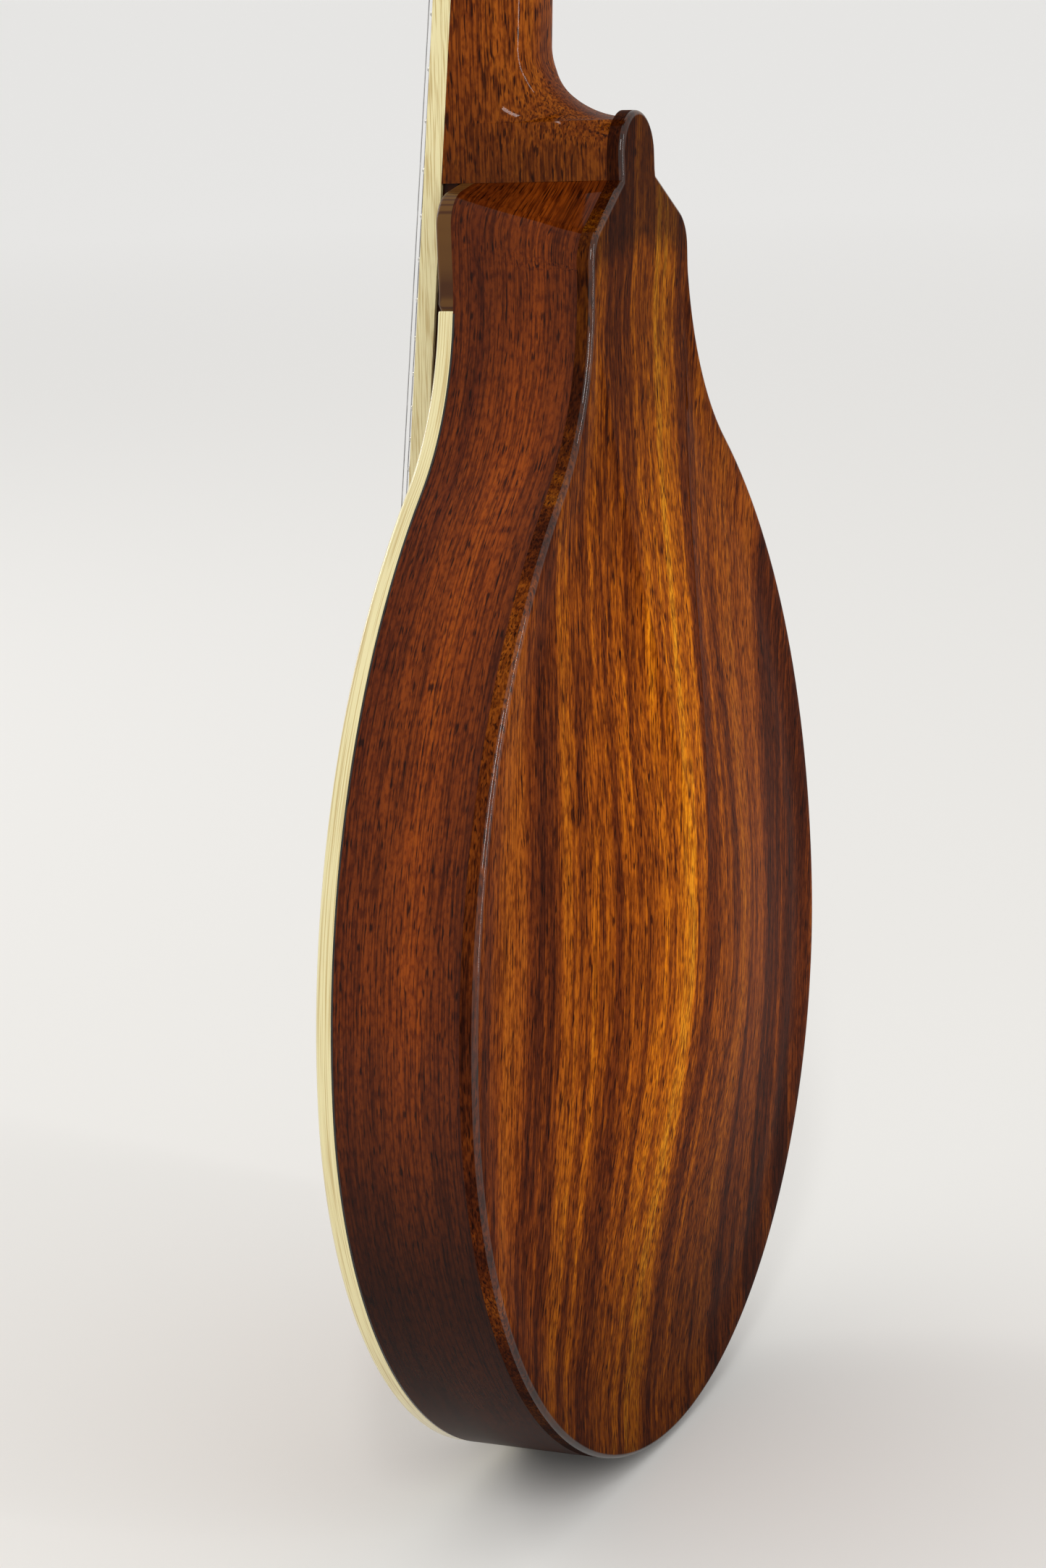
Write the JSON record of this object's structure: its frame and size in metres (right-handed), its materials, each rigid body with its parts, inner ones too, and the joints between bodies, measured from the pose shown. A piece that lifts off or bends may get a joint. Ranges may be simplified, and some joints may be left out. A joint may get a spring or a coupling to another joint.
{
  "type": "mandolin",
  "caption": "Carved-top mandolin with a pear-shaped body, oval sound hole, bound fingerboard, worm-geared tuners, adjustable bridge and a tailpiece with a sliding cover.",
  "frame": {"origin": "lowest point of the body's tail, halfway through its depth", "axes": "+Z from the tail to the headstock, +Y out of the soundboard, +X to the bass side"},
  "size_m": [0.25, 0.0994, 0.6188],
  "materials": {
    "spruce": "satin",
    "mahogany": "gloss",
    "ebony": "satin",
    "inner_wood": "matt",
    "ivoroid": "gloss",
    "bone": "satin",
    "nickel": "polished",
    "steel": "satin",
    "brass": "polished",
    "bronze": "satin",
    "black_plastic": "gloss"
  },
  "bodies": {
    "instrument": {"top_plate": "spruce", "back_plate": "mahogany", "ribs": "mahogany", "head_block": "inner_wood", "tail_block": "inner_wood", "linings": "inner_wood", "cross_brace": "inner_wood", "body_binding": "ivoroid", "neck": "mahogany", "truss_rod": "steel", "truss_rod_cover": "black_plastic", "headstock_veneer": "ebony", "nut": "bone", "fingerboard": "ebony", "fingerboard_binding": "ivoroid", "frets": "nickel", "strings": "bronze", "bridge_base": "ebony", "bridge_posts": "brass", "tailpiece_base": "nickel", "wood_screws": "nickel", "tuner_plates": "nickel", "post_ferrules": "nickel"},
    "truss_rod_nut": {"truss_rod_nut": "brass"},
    "saddle": {"bridge_saddle": "ebony"},
    "bass_wheel": {"bass_thumbwheel": "brass"},
    "treble_wheel": {"treble_thumbwheel": "brass"},
    "cover": {"tailpiece_cover": "nickel"},
    "worm_1": {"worm_shaft_1": "nickel", "tuner_button_1": "ivoroid"},
    "post_1": {"string_post_1": "nickel", "tuner_gear_1": "brass"},
    "worm_2": {"worm_shaft_2": "nickel", "tuner_button_2": "ivoroid"},
    "post_2": {"string_post_2": "nickel", "tuner_gear_2": "brass"},
    "worm_3": {"worm_shaft_3": "nickel", "tuner_button_3": "ivoroid"},
    "post_3": {"string_post_3": "nickel", "tuner_gear_3": "brass"},
    "worm_4": {"worm_shaft_4": "nickel", "tuner_button_4": "ivoroid"},
    "post_4": {"string_post_4": "nickel", "tuner_gear_4": "brass"},
    "worm_5": {"worm_shaft_5": "nickel", "tuner_button_5": "ivoroid"},
    "post_5": {"string_post_5": "nickel", "tuner_gear_5": "brass"},
    "worm_6": {"worm_shaft_6": "nickel", "tuner_button_6": "ivoroid"},
    "post_6": {"string_post_6": "nickel", "tuner_gear_6": "brass"},
    "worm_7": {"worm_shaft_7": "nickel", "tuner_button_7": "ivoroid"},
    "post_7": {"string_post_7": "nickel", "tuner_gear_7": "brass"},
    "worm_8": {"worm_shaft_8": "nickel", "tuner_button_8": "ivoroid"},
    "post_8": {"string_post_8": "nickel", "tuner_gear_8": "brass"}
  },
  "joints": [
    {"name": "truss_rod_nut_turn", "type": "hinge", "parent": "instrument", "child": "truss_rod_nut", "pos_m": [0, 0.00623, 0.49242], "axis": [0, -0.0872, 0.9962], "continuous": true},
    {"name": "saddle_height", "type": "slide", "parent": "instrument", "child": "saddle", "axis": [0, 1, 0], "range_m": [-0.0015, 0]},
    {"name": "bass_wheel_turn", "type": "hinge", "parent": "saddle", "child": "bass_wheel", "pos_m": [0.036, 0.04416, 0.13616], "axis": [0, 1, 0], "range_deg": [-680, 0]},
    {"name": "treble_wheel_turn", "type": "hinge", "parent": "saddle", "child": "treble_wheel", "pos_m": [-0.036, 0.04416, 0.13616], "axis": [0, 1, 0], "range_deg": [-680, 0]},
    {"name": "cover_slide", "type": "slide", "parent": "instrument", "child": "cover", "axis": [0, 0, -1], "range_m": [0, 0.08]},
    {"name": "post_1_turn", "type": "hinge", "parent": "instrument", "child": "post_1", "pos_m": [0.0175, 0.00116, 0.52504], "axis": [0, 0.9455, 0.3256], "continuous": true},
    {"name": "button_1_turn", "type": "hinge", "parent": "instrument", "child": "worm_1", "pos_m": [0.0255, -0.01889, 0.52596], "axis": [1, 0, 0], "continuous": true},
    {"name": "post_2_turn", "type": "hinge", "parent": "instrument", "child": "post_2", "pos_m": [0.0175, -0.00633, 0.54678], "axis": [0, 0.9455, 0.3256], "continuous": true},
    {"name": "button_2_turn", "type": "hinge", "parent": "instrument", "child": "worm_2", "pos_m": [0.0255, -0.02637, 0.54771], "axis": [1, 0, 0], "continuous": true},
    {"name": "post_3_turn", "type": "hinge", "parent": "instrument", "child": "post_3", "pos_m": [0.0175, -0.01382, 0.56853], "axis": [0, 0.9455, 0.3256], "continuous": true},
    {"name": "button_3_turn", "type": "hinge", "parent": "instrument", "child": "worm_3", "pos_m": [0.0255, -0.03386, 0.56945], "axis": [1, 0, 0], "continuous": true},
    {"name": "post_4_turn", "type": "hinge", "parent": "instrument", "child": "post_4", "pos_m": [0.0175, -0.02131, 0.59028], "axis": [0, 0.9455, 0.3256], "continuous": true},
    {"name": "button_4_turn", "type": "hinge", "parent": "instrument", "child": "worm_4", "pos_m": [0.0255, -0.04135, 0.5912], "axis": [1, 0, 0], "continuous": true},
    {"name": "post_5_turn", "type": "hinge", "parent": "instrument", "child": "post_5", "pos_m": [-0.0175, 0.00116, 0.52504], "axis": [0, 0.9455, 0.3256], "continuous": true},
    {"name": "button_5_turn", "type": "hinge", "parent": "instrument", "child": "worm_5", "pos_m": [-0.0255, -0.01889, 0.52596], "axis": [1, 0, 0], "continuous": true},
    {"name": "post_6_turn", "type": "hinge", "parent": "instrument", "child": "post_6", "pos_m": [-0.0175, -0.00633, 0.54678], "axis": [0, 0.9455, 0.3256], "continuous": true},
    {"name": "button_6_turn", "type": "hinge", "parent": "instrument", "child": "worm_6", "pos_m": [-0.0255, -0.02637, 0.54771], "axis": [1, 0, 0], "continuous": true},
    {"name": "post_7_turn", "type": "hinge", "parent": "instrument", "child": "post_7", "pos_m": [-0.0175, -0.01382, 0.56853], "axis": [0, 0.9455, 0.3256], "continuous": true},
    {"name": "button_7_turn", "type": "hinge", "parent": "instrument", "child": "worm_7", "pos_m": [-0.0255, -0.03386, 0.56945], "axis": [1, 0, 0], "continuous": true},
    {"name": "post_8_turn", "type": "hinge", "parent": "instrument", "child": "post_8", "pos_m": [-0.0175, -0.02131, 0.59028], "axis": [0, 0.9455, 0.3256], "continuous": true},
    {"name": "button_8_turn", "type": "hinge", "parent": "instrument", "child": "worm_8", "pos_m": [-0.0255, -0.04135, 0.5912], "axis": [1, 0, 0], "continuous": true}
  ],
  "couplings": [
    {"joint": "bass_wheel_turn", "follows": "saddle_height", "rad_per_m": 7854},
    {"joint": "treble_wheel_turn", "follows": "saddle_height", "rad_per_m": 7854},
    {"joint": "post_1_turn", "follows": "button_1_turn", "ratio": -0.0625},
    {"joint": "post_2_turn", "follows": "button_2_turn", "ratio": -0.0625},
    {"joint": "post_3_turn", "follows": "button_3_turn", "ratio": -0.0625},
    {"joint": "post_4_turn", "follows": "button_4_turn", "ratio": -0.0625},
    {"joint": "post_5_turn", "follows": "button_5_turn", "ratio": 0.0625},
    {"joint": "post_6_turn", "follows": "button_6_turn", "ratio": 0.0625},
    {"joint": "post_7_turn", "follows": "button_7_turn", "ratio": 0.0625},
    {"joint": "post_8_turn", "follows": "button_8_turn", "ratio": 0.0625}
  ]
}
